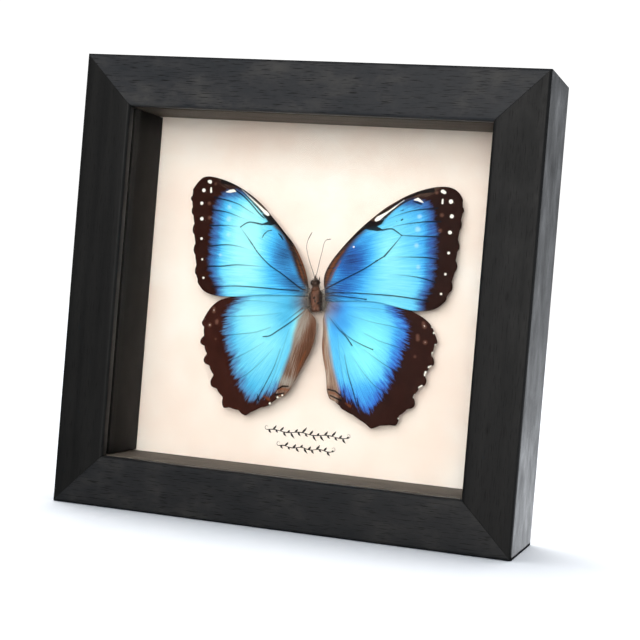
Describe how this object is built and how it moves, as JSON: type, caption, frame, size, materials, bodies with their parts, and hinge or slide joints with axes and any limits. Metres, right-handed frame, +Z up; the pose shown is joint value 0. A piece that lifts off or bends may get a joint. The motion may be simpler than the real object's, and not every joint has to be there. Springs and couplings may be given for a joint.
{
  "type": "framed butterfly specimen",
  "caption": "Set blue butterfly with spread wings, raised off a cream card behind glass in a deep black wooden box frame that stands or hangs.",
  "frame": {"origin": "middle of the footprint, on the surface that the frame's bottom rail stands on", "axes": "+Z up, the glass faces -Y, +X to the right as seen from the front"},
  "size_m": [0.18, 0.046, 0.174],
  "materials": {
    "frame_wood": "open-grained wood stained black under a thin satin lacquer",
    "liner_wood": "thin wood strips painted flat black",
    "glass": "clear 2 mm float glass with ground edges",
    "mount_card": null,
    "hardboard": "brown hardboard, smooth face out",
    "zinc_steel": "thin zinc-plated sheet steel and nails",
    "support_foam": "fine-cell white foam",
    "wing_scales": "iridescent blue wing scales with dark brown borders and small white spots",
    "chitin": "dry brown insect body with short hairs"
  },
  "bodies": {
    "root": {"rail_top": "frame_wood", "rail_bottom": "frame_wood", "rail_left": "frame_wood", "rail_right": "frame_wood", "glass_pane": "glass", "spacer_top": "liner_wood", "spacer_bottom": "liner_wood", "spacer_left": "liner_wood", "spacer_right": "liner_wood", "mount_board": "mount_card", "backing_board": "hardboard", "tab_top_1": "zinc_steel", "tab_top_2": "zinc_steel", "tab_bottom_1": "zinc_steel", "tab_bottom_2": "zinc_steel", "tab_left_1": "zinc_steel", "tab_left_2": "zinc_steel", "tab_right_1": "zinc_steel", "tab_right_2": "zinc_steel", "sawtooth_hanger": "zinc_steel", "hanger_nail_left": "zinc_steel", "hanger_nail_right": "zinc_steel", "support_block": "support_foam", "butterfly_body": "chitin", "antenna_left": "chitin", "antenna_right": "chitin", "forewing_left": "wing_scales", "forewing_right": "wing_scales", "hindwing_left": "wing_scales", "hindwing_right": "wing_scales"}
  },
  "joints": []
}
